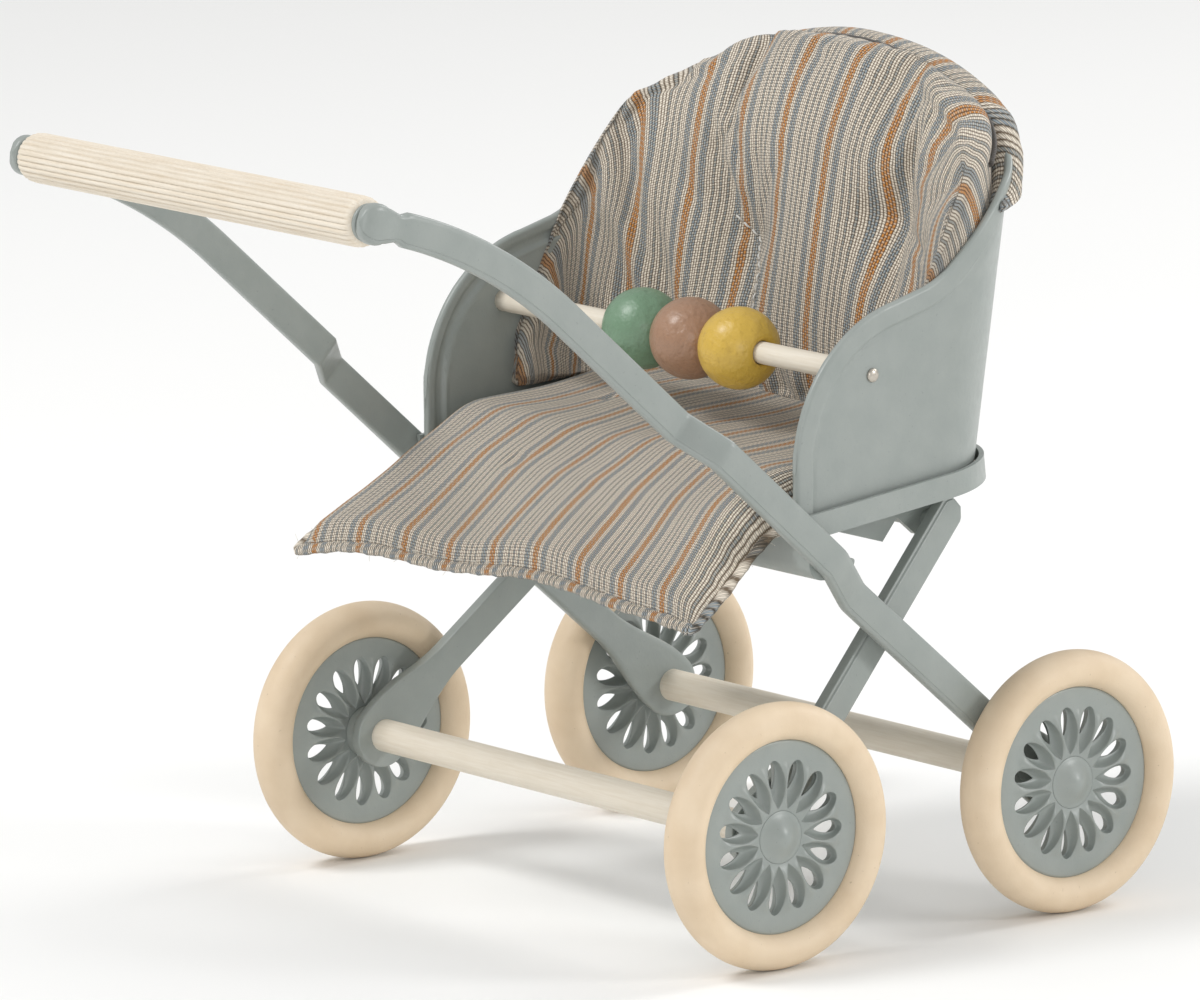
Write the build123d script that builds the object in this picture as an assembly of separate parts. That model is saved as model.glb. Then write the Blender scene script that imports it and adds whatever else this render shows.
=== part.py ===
"""Doll stroller of sheet metal, wood and linen. Millimetres, +Z up.

The origin is on the ground under the middle of the bounding box. +Y points from the push
handle towards the seat back, so the child faces -Y, towards whoever pushes. +X is the
pusher's right-hand side, called "right" in the names below.
"""
import os
from math import atan, cos, degrees, radians

from build123d import *

# ---------------------------------------------------------------- driving dimensions
wheel_radius = 16.0
tyre_width = 5.4
tyre_bore_radius = 11.5
rim_radius = 12.0
rim_half_thickness = 0.9
web_half_thickness = 1.0
petal_count = 15
hub_radius = 3.45
hub_rise = 2.3
wheelbase = 45.4
half_track = 40.0

overall_length = 117.4
grip_radius = 3.0
grip_half_length = 32.4
grip_height = 94.0
flute_count = 24

bar_width = 4.1
bar_thickness = 1.4
leg_width = 4.0
leg_thickness = 1.6
lug_radius = 4.0
lug_centre_x = 36.15

axle_radius = 2.0
axle_clearance = 0.06

sheet = 0.6
seat_half_width = 36.0
seat_corner_radius = 11.0
seat_front_y = 4.3
pan_clearance = 0.2
pan_slope = 0.105
pan_height_at_origin = 49.2
pan_rim_height = 2.9

bead_radius = 5.0
bead_half_length = 4.55
bead_pitch = 9.2
bead_middle_x = 1.6
bead_bar_radius = 1.35
bead_bar_y = 16.3
bead_bar_z = 68.1
bead_clearance = 0.07

seat_cushion_thickness = 5.5
seat_cushion_half_width = 33.0
back_cushion_thickness = 7.0
wing_thickness = 3.6
soft_gap = 0.3

# ---------------------------------------------------------------- derived places
grip_y = -overall_length / 2 + grip_radius
front_axle_y = overall_length / 2 - wheel_radius
rear_axle_y = front_axle_y - wheelbase
axle_z = wheel_radius
pan_tilt = degrees(atan(pan_slope))
back_lean = 0.1645


def pan_bottom(y):
    """Height of the seat pan's underside."""
    return pan_height_at_origin + pan_slope * y


def back_face(z):
    """Y of the outside of the seat back: it leans away from the seat as it rises."""
    return 38.5 + back_lean * (z - 57.0)


def prism_x(face, low, high):
    """Extrude a face drawn in the YZ plane from x = low to x = high."""
    return extrude(Pos(low, 0, 0) * face, amount=high - low, dir=(1, 0, 0))


def mirrored(solid):
    """The same piece on the other side of the stroller."""
    return mirror(solid, about=Plane.YZ)


def rod_x(radius, low, high, y, z):
    """A round rod along X."""
    return Pos((low + high) / 2, y, z) * Rot(0, 90, 0) * Cylinder(radius, high - low)


def yz_polygon(points):
    """A flat face in the YZ plane from a list of (y, z) corners."""
    return make_face(Polyline([(0, y, z) for y, z in points], close=True))


def xy_strip(centre_line, thickness):
    """Plan view of a strap: a strip of even thickness along X, following (y, x) points."""
    outer = [(x + thickness / 2, y, 0) for y, x in centre_line]
    inner = [(x - thickness / 2, y, 0) for y, x in reversed(centre_line)]
    return extrude(make_face(Polyline(outer + inner, close=True)), amount=140)


def taper_to_lug(lug, strap_point, lug_r, strap_r):
    """Hull of a round lug and a smaller circle further up the strap, in the YZ plane."""
    circles = [Pos(*lug) * Circle(lug_r), Pos(*strap_point) * Circle(strap_r)]
    hull = make_hull(circles[0].edges() + circles[1].edges())
    return Plane.YZ * hull


# ---------------------------------------------------------------- push handle
def make_handle_grip():
    """Turned wooden grip with cut flutes and a plain rounded ring at each end."""
    fluted_half_length = grip_half_length - 0.8
    flutes = PolarLocations(grip_radius + 0.06, flute_count) * Circle(0.26)
    section = Circle(grip_radius) - flutes
    profile = Plane.YZ * Pos(grip_y, grip_height, -fluted_half_length) * section
    grip = extrude(profile, amount=2 * fluted_half_length, dir=(1, 0, 0))
    for side in (-1, 1):
        near, far = sorted((side * (fluted_half_length - 0.2), side * grip_half_length))
        end = rod_x(grip_radius - 0.35, near, far, grip_y, grip_height)
        outer_edge = end.edges().filter_by(GeomType.CIRCLE).sort_by(Axis.X)[-1 if side > 0 else 0]
        grip += fillet(outer_edge, 0.3)
        low, high = sorted((side * collar_inner_x, side * grip_half_length))
        grip -= rod_x(collar_radius, low, high, grip_y, grip_height)
    return grip - rod_x(rod_radius, -grip_half_length, grip_half_length, grip_y, grip_height)


rod_radius = 1.0
collar_radius = 2.2
collar_inner_x = 31.8
collar_outer_x = 32.9
bulb_outer_x = 34.7
bulb_radius = 2.4


def make_handle_rod():
    """Hidden steel rod through the grip, from bulb to bulb."""
    return rod_x(rod_radius, -bulb_outer_x, bulb_outer_x, grip_y, grip_height)


def make_handle_collar():
    """Sheet-metal washer let into the end of the grip."""
    collar = rod_x(collar_radius, collar_inner_x, collar_outer_x, grip_y, grip_height)
    return collar - rod_x(rod_radius, 30, 36, grip_y, grip_height)


# ---------------------------------------------------------------- side bars and legs
upper_bar_x = 34.0
middle_bar_x = 37.7


def make_side_bar():
    """Handle bar: arched at the top, straight down past the seat, joggled out round it."""
    grip = (grip_y, grip_height)
    axle = (front_axle_y, axle_z)
    corners = [grip, (-39.7, 90.0), (8.5, 46.8), (12.7, 41.9), axle]
    line = FilletPolyline([(y, z) for y, z in corners], radius=[62, 5, 5])
    outline = Plane.YZ * make_face(offset(line, amount=bar_width / 2, side=Side.BOTH))
    run_y = axle[0] - corners[3][0]
    run_z = axle[1] - corners[3][1]
    flare_start = (axle[0] - 0.36 * run_y, axle[1] - 0.36 * run_z)
    outline += taper_to_lug(axle, flare_start, lug_radius, bar_width / 2)
    outline += Plane.YZ * (Pos(*grip) * Circle(bulb_radius))
    strap = prism_x(outline, 30, 42)
    bulb_x = (collar_outer_x + bulb_outer_x) / 2
    centre_line = [
        (-70, bulb_x),
        (-53.6, bulb_x),
        (-52.0, upper_bar_x),
        (-12.0, upper_bar_x),
        (-8.4, middle_bar_x),
        (8.6, middle_bar_x),
        (12.4, lug_centre_x),
        (60, lug_centre_x),
    ]
    bar = strap & xy_strip(centre_line, bar_thickness)
    bulb = rod_x(bulb_radius, collar_outer_x, bulb_outer_x, grip_y, grip_height)
    bar += fillet(bulb.edges().filter_by(GeomType.CIRCLE).sort_by(Axis.X)[-1], 0.6)
    bar -= rod_x(rod_radius, 30, 40, grip_y, grip_height)
    bar -= lug_bore(front_axle_y)
    return bar


def lug_bore(y):
    """Running bore for an axle, with a small countersink on the inner face."""
    bore = rod_x(axle_radius + axle_clearance, 30, 42, y, axle_z)
    sink_depth = 0.35
    inner_face = lug_centre_x - bar_thickness / 2
    sink = Cone(axle_radius + 0.45, axle_radius + axle_clearance, sink_depth)
    return bore + Pos(inner_face + sink_depth / 2, y, axle_z) * Rot(0, 90, 0) * sink


leg_top = (34.3, 49.7)
leg_flat_until_y = 1.8
leg_splay = -0.2227


def leg_x(y):
    """Centre of the leg's thickness: flat at the lug, then splayed inwards."""
    return lug_centre_x + leg_splay * max(0.0, y - leg_flat_until_y)


def make_leg():
    """Straight folded strap from the rear axle lug up to the underside of the seat."""
    axle = (rear_axle_y, axle_z)
    rise = Vector(leg_top[0] - axle[0], leg_top[1] - axle[1])
    along = rise.normalized()
    across = Vector(-along.Y, along.X) * (leg_width / 2)
    start = Vector(*axle)
    end = Vector(*leg_top)
    chamfer_run = along * 1.1
    corners = [
        start + across,
        end + across - chamfer_run,
        end + across * 0.45,
        end - across * 0.45,
        end - across - chamfer_run,
        start - across,
    ]
    outline = yz_polygon([(p.X, p.Y) for p in corners])
    flare_start = start + along * 13.0
    outline += taper_to_lug(axle, (flare_start.X, flare_start.Y), lug_radius, leg_width / 2)
    centre_line = [(-10, leg_x(-10)), (leg_flat_until_y, leg_x(-10)), (40, leg_x(40))]
    strap = prism_x(outline, 22, 42) & xy_strip(centre_line, leg_thickness)
    lug_faces = Pos(lug_centre_x, 15, 35) * Box(bar_thickness, 60, 60)
    near_lug = Pos(lug_centre_x, rear_axle_y - 1.0, axle_z) * Box(4, 12, 12)
    strap = (strap - near_lug) + (strap & near_lug & lug_faces)
    return strap - lug_bore(rear_axle_y)


tube_y = 32.0
tube_z = 47.6
tube_radius = 1.2


def make_leg_cross_tube():
    """Rolled tube that ties the tops of the two legs together."""
    end_x = leg_x(tube_y) - leg_thickness / 2 - 0.3
    tube = rod_x(tube_radius, -end_x, end_x, tube_y, tube_z)
    return tube - rod_x(tube_radius - 0.5, -end_x, end_x, tube_y, tube_z)


gusset_x = 26.6


def make_seat_gusset():
    """Folded tab that hangs from the seat pan and carries the cross tube."""
    corners = [
        (16.5, pan_bottom(16.5)),
        (36.0, pan_bottom(36.0)),
        (34.4, 46.6),
        (30.0, 46.0),
        (27.2, 48.4),
        (24.9, 45.7),
        (18.7, 47.6),
    ]
    plate = prism_x(yz_polygon(corners), gusset_x - 0.4, gusset_x + 0.4)
    return plate - rod_x(tube_radius, 20, 34, tube_y, tube_z)


def make_seat_cross_brace():
    """Curled channel under the front of the pan, from one side bar to the other."""
    top = (5.4, pan_bottom(5.4))
    line = FilletPolyline([top, (5.8, 45.4), (11.2, 44.8), (11.8, 46.5)], radius=[1.6, 0.8])
    outline = Plane.YZ * make_face(offset(line, amount=0.4, side=Side.BOTH))
    end_x = middle_bar_x - bar_thickness / 2
    brace = prism_x(outline, -end_x, end_x) - pan_space(0)
    for bar in (side_bar, mirrored(side_bar)):
        brace -= bar
    return max(brace.solids(), key=lambda solid: solid.volume)


# ---------------------------------------------------------------- seat
def d_shape(half_width, front_y, back_y, corner_radius):
    """Plan of the seat: straight front, two straight sides, rounded back corners."""
    plan = Pos(0, (front_y + back_y) / 2) * Rectangle(2 * half_width, back_y - front_y)
    return fillet(plan.vertices().group_by(Axis.Y)[-1], corner_radius)


def seat_body(inset, back_inset, corner_radius):
    """Solid with the leaning outside form of the seat, moved in by the two insets."""
    low, high = 44.0, 108.0
    sections = []
    for z in (low, high):
        plan = d_shape(seat_half_width - inset, -15.0, back_face(z) - back_inset, corner_radius)
        sections.append(Pos(0, 0, z) * plan)
    return loft(sections, ruled=True)


def side_outline(points, radii):
    """Closed side view, drawn through filleted corners, as a prism across the stroller."""
    line = FilletPolyline([(0, y, z) for y, z in points], radius=radii)
    closing = Line(line @ 1, line @ 0)
    return prism_x(make_face([line, closing]), -45, 45)


def pan_space(height):
    """Everything higher than the given height above the pan's underside."""
    block = Pos(0, 0, 50 + height) * Box(200, 200, 100)
    return Pos(0, 0, pan_height_at_origin) * Rot(pan_tilt, 0, 0) * block


def arch(top_z, radius):
    """Everything below a wide arch, seen from the front."""
    disc = Rot(90, 0, 0) * Cylinder(radius, 200)
    return Pos(0, 0, top_z - radius) * disc


shell_top = 100.5
shell_arch_radius = 55.0


def make_seat_shell():
    """One sheet wrapped round both sides and the back, with sloping armrests."""
    shell = seat_body(0, 0, seat_corner_radius)
    shell -= seat_body(sheet, sheet, seat_corner_radius - sheet)
    front = [
        (60.0, 40.0),
        (seat_front_y, 40.0),
        (seat_front_y, 72.6),
        (26.6, 78.2),
        (41.8, 91.4),
        (47.5, 108.0),
        (60.0, 108.0),
    ]
    shell &= side_outline(front, [0.5, 19, 12, 6, 0.5])
    shell &= arch(shell_top, shell_arch_radius)
    shell &= pan_space(sheet)
    for nail in nail_shanks():
        shell -= nail
    return shell


def make_seat_pan():
    """Shallow tray under the seat with a rim that stands up outside the shell."""
    grow = pan_clearance + sheet
    half_width = seat_half_width + grow
    back_y = (back_face(pan_bottom(39.0) + pan_rim_height) + grow) / cos(radians(pan_tilt))
    radius = seat_corner_radius + grow
    floor = d_shape(half_width, seat_front_y, back_y, radius)
    inside = d_shape(half_width - sheet, seat_front_y - 5, back_y - sheet, radius - sheet)
    pan = extrude(floor, amount=sheet)
    pan += extrude(floor - inside, amount=pan_rim_height)
    return Pos(0, 0, pan_height_at_origin) * Rot(pan_tilt, 0, 0) * pan


# ---------------------------------------------------------------- bead bar
nail_head_radius = 0.85
nail_shank_radius = 0.35
nail_tip_x = 31.0


def nail_shanks():
    shank = rod_x(nail_shank_radius, nail_tip_x, seat_half_width + 0.2, bead_bar_y, bead_bar_z)
    return [shank, mirrored(shank)]


def make_bead_bar():
    inner_x = seat_half_width - sheet
    bar = rod_x(bead_bar_radius, -inner_x, inner_x, bead_bar_y, bead_bar_z)
    for shank in nail_shanks():
        bar -= shank
    return bar


def make_bead_bar_nails():
    head = rod_x(nail_head_radius, seat_half_width, seat_half_width + 0.4, bead_bar_y, bead_bar_z)
    head = fillet(head.edges().filter_by(GeomType.CIRCLE).sort_by(Axis.X)[-1], 0.3)
    nail = head + nail_shanks()[0]
    return Compound([nail, mirrored(nail)])


def make_bead(x):
    bead = Sphere(bead_radius) & Box(2 * bead_half_length, 20, 20)
    bead -= Rot(0, 90, 0) * Cylinder(bead_bar_radius + bead_clearance, 20)
    return Pos(x, bead_bar_y, bead_bar_z) * bead


# ---------------------------------------------------------------- wheels
axle_half_length = 39.4
hub_inner_x = 37.0


def make_axle(y):
    return rod_x(axle_radius, -axle_half_length, axle_half_length, y, axle_z)


def make_wheel_disc(y):
    """Cast disc with a domed hub, a ring of petal-shaped openings and a thick rim."""
    web_x = web_half_thickness
    dome_height = hub_rise - web_x
    dome_radius = (hub_radius**2 + dome_height**2) / (2 * dome_height)
    with BuildSketch(Plane.XY) as section:
        with BuildLine():
            Polyline((0, 0), (0, hub_inner_x - half_track), (3.2, hub_inner_x - half_track))
            Polyline(
                (3.2, hub_inner_x - half_track),
                (3.2, -web_x),
                (9.6, -web_x),
                (10.0, -rim_half_thickness),
                (rim_radius, -rim_half_thickness),
                (rim_radius, rim_half_thickness),
                (10.0, rim_half_thickness),
                (9.6, web_x),
                (hub_radius, web_x),
            )
            RadiusArc((hub_radius, web_x), (0, hub_rise), -dome_radius)
            Line((0, hub_rise), (0, 0))
        make_face()
    disc = revolve(section.sketch, Axis.Y)
    root = Pos(4.35, 0) * Circle(0.35)
    tip = Pos(8.35, 0) * Circle(1.0)
    petal = make_hull(root.edges() + tip.edges())
    for turn in range(petal_count):
        cutter = extrude(petal, amount=3, both=True)
        disc -= Rot(0, 360 * turn / petal_count, 0) * Rot(90, 0, 0) * cutter
    disc -= Pos(0, hub_inner_x - half_track, 0) * Rot(90, 0, 0) * Cylinder(
        axle_radius, 2 * (axle_half_length - hub_inner_x)
    )
    return Pos(half_track, y, axle_z) * Rot(0, 0, -90) * disc


def make_tyre(y):
    """Solid tyre: an oval ring with a groove for the rim."""
    middle = (wheel_radius + tyre_bore_radius) / 2
    oval = Pos(middle, 0) * Ellipse((wheel_radius - tyre_bore_radius) / 2, tyre_width / 2)
    tyre = revolve(oval, Axis.Y)
    tyre -= Rot(90, 0, 0) * Cylinder(rim_radius, 2 * rim_half_thickness)
    return Pos(half_track, y, axle_z) * Rot(0, 0, -90) * tyre


# ---------------------------------------------------------------- cushions
cushion_tip = (-13.2, 42.0)


def make_seat_cushion():
    """Loose pad on the pan that overhangs the front edge and droops."""
    rest = pan_bottom(0) + sheet / cos(radians(pan_tilt))
    top = rest + seat_cushion_thickness
    back_y = 35.0
    bend_y = seat_front_y - 0.4
    corners = [
        (back_y, rest + pan_slope * back_y),
        (bend_y, rest + pan_slope * bend_y),
        (cushion_tip[0] + 0.8, cushion_tip[1] - 1.8),
        (cushion_tip[0] - 0.6, cushion_tip[1] + 0.4),
        (seat_front_y - 4.0, top - 1.2),
        (seat_front_y + 8.0, top + pan_slope * (seat_front_y + 8.0)),
        (back_y, top + pan_slope * back_y),
    ]
    face = yz_polygon(corners)
    width = seat_cushion_half_width
    return prism_x(face, -width, width) & seat_body(1.2, 2.0, 9.0)


def make_back_cushion():
    """Padded lining of the seat back, with wings along both side walls."""
    outside = sheet + soft_gap
    pad = seat_body(outside, outside, seat_corner_radius - outside)
    pad -= seat_body(outside + wing_thickness, outside + back_cushion_thickness, 7.0)
    front = [
        (60.0, 40.0),
        (16.9, 40.0),
        (16.9, 62.0),
        (24.0, 76.0),
        (34.0, 91.0),
        (39.0, 108.0),
        (60.0, 108.0),
    ]
    pad &= side_outline(front, [0.5, 6, 12, 8, 0.5])
    pad &= arch(102.6, 56.0)
    return pad & pan_space(sheet + seat_cushion_thickness + soft_gap)


pocket_thickness = 1.3


def make_back_cushion_pocket():
    """Fabric pocket behind the cushion, pulled down over the top of the shell."""
    near = 0.1
    pocket = seat_body(-near - pocket_thickness, -near - pocket_thickness, seat_corner_radius + 1.4)
    pocket -= seat_body(-near, -near, seat_corner_radius + near)
    pocket &= arch(102.6, 56.0)
    return pocket & (Pos(0, 37.5 + 20, 86.8 + 20) * Box(100, 40, 40))


# ---------------------------------------------------------------- write the parts
side_bar = make_side_bar()
leg = make_leg()
gusset = make_seat_gusset()
collar = make_handle_collar()

parts = {
    "handle_grip": make_handle_grip(),
    "handle_rod": make_handle_rod(),
    "handle_collar_right": collar,
    "handle_collar_left": mirrored(collar),
    "side_bar_right": side_bar,
    "side_bar_left": mirrored(side_bar),
    "leg_right": leg,
    "leg_left": mirrored(leg),
    "leg_cross_tube": make_leg_cross_tube(),
    "seat_gusset_right": gusset,
    "seat_gusset_left": mirrored(gusset),
    "seat_cross_brace": make_seat_cross_brace(),
    "seat_shell": make_seat_shell(),
    "seat_pan": make_seat_pan(),
    "bead_bar": make_bead_bar(),
    "bead_bar_nails": make_bead_bar_nails(),
    "bead_green": make_bead(bead_middle_x - bead_pitch),
    "bead_brown": make_bead(bead_middle_x),
    "bead_yellow": make_bead(bead_middle_x + bead_pitch),
    "seat_cushion": make_seat_cushion(),
    "back_cushion": make_back_cushion(),
    "back_cushion_pocket": make_back_cushion_pocket(),
}
for end, y in (("front", front_axle_y), ("rear", rear_axle_y)):
    parts[f"{end}_axle_dowel"] = make_axle(y)
    disc = make_wheel_disc(y)
    tyre = make_tyre(y)
    parts[f"{end}_wheel_disc_right"] = disc
    parts[f"{end}_wheel_disc_left"] = mirrored(disc)
    parts[f"{end}_tyre_right"] = tyre
    parts[f"{end}_tyre_left"] = mirrored(tyre)

os.makedirs("parts", exist_ok=True)
for name, solid in parts.items():
    export_step(solid, f"parts/{name}.step")
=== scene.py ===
"""Looks of the doll stroller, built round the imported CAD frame.

Lengths are in millimetres in the row frame (+Y from handle to seat back, +X to the right, +Z up)
until build_mesh() writes them as metres.
"""
import math
from math import cos, hypot, pi, sin, sqrt
import bmesh
import bpy
import numpy as np
from mathutils import Matrix, Vector
from mathutils.bvhtree import BVHTree


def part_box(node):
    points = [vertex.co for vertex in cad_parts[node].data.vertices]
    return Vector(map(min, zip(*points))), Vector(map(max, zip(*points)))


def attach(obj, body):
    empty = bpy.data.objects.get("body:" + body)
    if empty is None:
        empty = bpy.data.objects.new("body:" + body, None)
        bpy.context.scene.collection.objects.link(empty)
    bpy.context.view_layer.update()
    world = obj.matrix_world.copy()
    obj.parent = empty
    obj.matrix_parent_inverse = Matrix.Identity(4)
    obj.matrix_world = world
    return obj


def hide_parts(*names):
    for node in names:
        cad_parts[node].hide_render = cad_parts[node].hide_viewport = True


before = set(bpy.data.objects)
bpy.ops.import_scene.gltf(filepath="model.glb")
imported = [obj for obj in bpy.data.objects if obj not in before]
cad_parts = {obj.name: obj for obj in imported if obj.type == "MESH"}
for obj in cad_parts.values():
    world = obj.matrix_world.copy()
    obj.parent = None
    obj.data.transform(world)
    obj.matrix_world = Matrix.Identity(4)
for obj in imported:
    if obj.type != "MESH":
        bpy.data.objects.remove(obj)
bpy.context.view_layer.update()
MM = 0.001

FRAME_BODY = "frame"


# --- places read from the frame
def low(node):
    return np.array(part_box(node)[0]) / MM


def high(node):
    return np.array(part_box(node)[1]) / MM


def middle(node):
    return (low(node) + high(node)) / 2


AXLE = {end: middle(f"{end}_axle_dowel") for end in ("front", "rear")}
AXLE_RADIUS = (high("front_axle_dowel")[2] - low("front_axle_dowel")[2]) / 2
HALF_TRACK = middle("front_tyre_right")[0]
WHEEL_RADIUS = (high("front_tyre_right")[2] - low("front_tyre_right")[2]) / 2
TYRE_HALF_WIDTH = (high("front_tyre_right")[0] - low("front_tyre_right")[0]) / 2
GRIP = middle("handle_grip")
GRIP_HALF_LENGTH = high("handle_grip")[0]
GRIP_RADIUS = (high("handle_grip")[2] - low("handle_grip")[2]) / 2
SEAT_HALF_WIDTH = high("seat_shell")[0]
SEAT_FRONT = low("seat_shell")[1]
BEAD_BAR = middle("bead_bar")
BEAD_BAR_RADIUS = (high("bead_bar")[2] - low("bead_bar")[2]) / 2


# --- mesh helpers
def unit(vector):
    return vector / np.linalg.norm(vector)


def turns(count):
    """Angles spread evenly round a full turn."""
    return [2 * pi * k / count for k in range(count)]


def add_object(name, data):
    made = bpy.data.objects.new(name, data)
    bpy.context.scene.collection.objects.link(made)
    return made


def build_mesh(name, points, faces, material, body=None, uv=None, scale=1):
    """A smooth-shaded mesh object from points in mm, riding on a body if one is named."""
    mesh = bpy.data.meshes.new(name)
    mesh.from_pydata([tuple(float(c) * MM * scale for c in p) for p in points], [], faces)
    mesh.validate()
    mesh.shade_smooth()
    mesh.materials.append(material)
    if uv is not None:
        layer = mesh.uv_layers.new(name="UVMap")
        for loop in mesh.loops:
            layer.data[loop.index].uv = uv[loop.vertex_index]
    piece = add_object(name, mesh)
    if body:
        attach(piece, body)
    return piece


def skin(rings, capped=True):
    """Points and quads through closed rings of equal length, with flat caps at the two ends."""
    count = len(rings[0])
    points = [p for ring in rings for p in ring]
    faces = []
    for r in range(len(rings) - 1):
        for i in range(count):
            j = (i + 1) % count
            faces.append((r * count + i, r * count + j, (r + 1) * count + j, (r + 1) * count + i))
    if capped:
        faces.append(tuple(reversed(range(count))))
        last = (len(rings) - 1) * count
        faces.append(tuple(range(last, last + count)))
    return points, faces


def lathe_x(name, profile, centre, material, body, segments=64, closed_profile=False, capped=True):
    """Turn (x, radius) pairs about an axis along X through centre."""
    rings = []
    for x, radius in profile:
        ring = [(centre[1] + radius * cos(a), centre[2] + radius * sin(a)) for a in turns(segments)]
        rings.append([(centre[0] + x, y, z) for y, z in ring])
    if closed_profile:
        rings.append(rings[0])
    points, faces = skin(rings, capped and not closed_profile)
    return build_mesh(name, points, faces, material, body)


def add_bevel(piece, width):
    bevel = piece.modifiers.new("edge", "BEVEL")
    bevel.width = width * MM
    bevel.segments = 3
    bevel.limit_method = "ANGLE"
    bevel.angle_limit = math.radians(30)
    bevel.harden_normals = False


def smooth_step(low_x, high_x, x):
    t = min(1.0, max(0.0, (x - low_x) / (high_x - low_x)))
    return t * t * (3 - 2 * t)


def filleted_path(corners, radii, step=1.2):
    """Points along straight runs joined by tangent arcs, in a plane."""
    corners = [np.array(c, float) for c in corners]
    points = [corners[0]]
    for before, corner, after, radius in zip(corners, corners[1:], corners[2:], radii):
        into = unit(corner - before)
        out = unit(after - corner)
        turn = math.acos(np.clip(into @ out, -1, 1))
        reach = radius * math.tan(turn / 2)
        side = 1 if into[0] * out[1] - into[1] * out[0] > 0 else -1
        start = corner - into * reach
        normal = np.array((-into[1], into[0])) * side
        centre = start + normal * radius
        count = max(2, int(radius * turn / step) + 1)
        for k in range(count + 1):
            a = turn * k / count
            points.append(centre - normal * radius * cos(a) + into * radius * sin(a))
    points.append(corners[-1])
    return points


def resample(points, step):
    """Even spacing along a polyline, as (distance, point, direction)."""
    points = np.array(points)
    lengths = np.linalg.norm(np.diff(points, axis=0), axis=1)
    keep = np.concatenate(([True], lengths > 1e-6))
    points = points[keep]
    along = np.concatenate(([0], np.cumsum(np.linalg.norm(np.diff(points, axis=0), axis=1))))
    places = np.linspace(0, along[-1], int(along[-1] / step) + 1)
    found = np.stack([np.interp(places, along, points[:, k]) for k in range(points.shape[1])], 1)
    slope = np.gradient(found, places, axis=0)
    slope /= np.linalg.norm(slope, axis=1)[:, None]
    return places, found, slope


# --- materials
class Shader:
    """A principled material with short calls for its nodes."""

    def __init__(self, name, base, roughness, **sockets):
        self.material = bpy.data.materials.new(name)
        self.material.use_nodes = True
        self.tree = self.material.node_tree
        self.bsdf = self.tree.nodes["Principled BSDF"]
        self.bsdf.inputs["Base Color"].default_value = base
        self.bsdf.inputs["Roughness"].default_value = roughness
        for socket, value in sockets.items():
            self.bsdf.inputs[socket.replace("_", " ")].default_value = value
        self.material.diffuse_color = base

    def node(self, kind, inputs=(), **settings):
        made = self.tree.nodes.new("ShaderNode" + kind)
        for key, value in settings.items():
            setattr(made, key, value)
        for key, value in dict(inputs).items():
            if isinstance(value, bpy.types.NodeSocket):
                self.tree.links.new(value, made.inputs[key])
            else:
                made.inputs[key].default_value = value
        return made

    def math(self, operation, a, b=0.0):
        return self.node("Math", {0: a, 1: b}, operation=operation).outputs[0]

    def mix(self, factor, a, b, blend="MIX"):
        made = self.node("Mix", data_type="RGBA", blend_type=blend)
        for slot, value in ((0, factor), (6, a), (7, b)):
            if isinstance(value, bpy.types.NodeSocket):
                self.tree.links.new(value, made.inputs[slot])
            else:
                made.inputs[slot].default_value = value
        return made.outputs[2]

    def place(self):
        return self.node("TexCoord").outputs["Object"]

    def noise(self, scale, detail=3.0, roughness=0.5, vector=None):
        inputs = {"Scale": scale, "Detail": detail, "Roughness": roughness}
        inputs["Vector"] = vector or self.place()
        return self.node("TexNoise", inputs).outputs["Fac"]

    def spread(self, value, low_value, high_value, new_low=0.0, new_high=1.0):
        inputs = {"Value": value, "From Min": low_value, "From Max": high_value}
        inputs.update({"To Min": new_low, "To Max": new_high})
        return self.node("MapRange", inputs).outputs[0]

    def bump(self, height, distance, strength=1.0, under=None):
        inputs = {"Height": height, "Distance": distance, "Strength": strength}
        if under is not None:
            inputs["Normal"] = under
        return self.node("Bump", inputs).outputs["Normal"]

    def out(self, socket, value):
        self.tree.links.new(value, self.bsdf.inputs[socket])


def srgb(r, g, b):
    """Scene-linear RGBA from 8-bit sRGB values."""
    linear = [c / 255 / 12.92 if c <= 10 else ((c / 255 + 0.055) / 1.055) ** 2.4 for c in (r, g, b)]
    return (*linear, 1)


def paint_material():
    """Satin grey-green enamel with faint orange peel, dust and small dark chips."""
    s = Shader("enamel", srgb(150, 155, 150), 0.4, Coat_Weight=0.3, Coat_Roughness=0.25)
    cloudy = s.spread(s.noise(260, 4), 0.3, 0.7)
    tone = s.mix(cloudy, srgb(143, 150, 146), srgb(150, 156, 152))
    speck = s.spread(s.noise(2600, 2), 0.70, 0.76)
    tone = s.mix(s.math("MULTIPLY", speck, 0.25), tone, srgb(105, 108, 104))
    s.out("Base Color", tone)
    s.out("Roughness", s.spread(s.noise(900, 3), 0.3, 0.7, 0.36, 0.5))
    peel = s.bump(s.noise(1500, 2), 0.00006, 0.5)
    s.out("Normal", s.bump(s.noise(5200, 2), 0.00002, 0.5, peel))
    return s.material


def wood_material(name, colour, shade, roughness):
    """Painted dowel: fine grain along X under a thin coat."""
    s = Shader(name, srgb(*colour), roughness)
    stretched = s.node("Mapping", {"Vector": s.place(), "Scale": (0.06, 1, 1)}).outputs[0]
    grain = s.noise(2600, 5, 0.6, stretched)
    tone = s.mix(s.spread(grain, 0.35, 0.7), srgb(*colour), srgb(*shade))
    spots = s.spread(s.noise(700, 3), 0.62, 0.75)
    s.out("Base Color", s.mix(s.math("MULTIPLY", spots, 0.35), tone, srgb(*shade)))
    s.out("Roughness", s.spread(grain, 0.3, 0.7, roughness - 0.06, roughness + 0.1))
    s.out("Normal", s.bump(grain, 0.00005, 0.6))
    return s.material


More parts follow.
